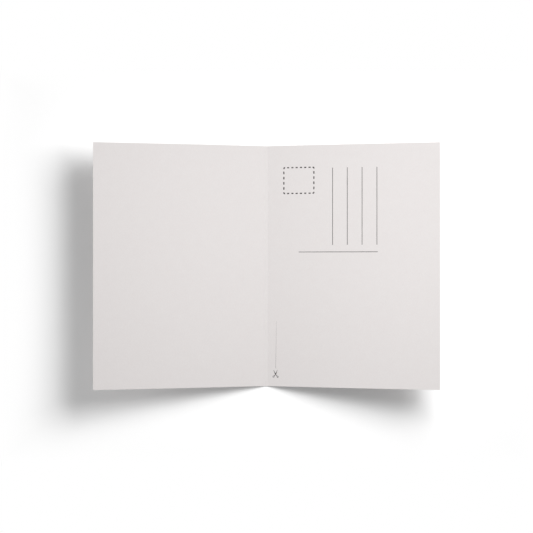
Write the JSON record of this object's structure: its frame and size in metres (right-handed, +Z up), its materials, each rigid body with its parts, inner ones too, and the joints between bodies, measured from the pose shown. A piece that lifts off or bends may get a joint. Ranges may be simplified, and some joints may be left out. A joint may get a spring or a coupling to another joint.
{
  "type": "greeting card",
  "caption": "Folded greeting card of uncoated card stock, lying open on its scored fold as a shallow V, with a plain printed writing layout inside its right-hand panel.",
  "frame": {"origin": "middle of the fold's flat underside, on the surface that the card lies on", "axes": "+X across the panels towards the printed one, +Y along the fold towards the top of the page, +Z up from the table, out of the open inside"},
  "size_m": [0.2072, 0.148, 0.0173],
  "materials": {
    "card_stock": "uncoated white card with a faint warm tint, matt, fine fibres",
    "ink": "dark grey offset printing ink, matt"
  },
  "bodies": {
    "root": {"folded_card": "card_stock"}
  },
  "joints": []
}
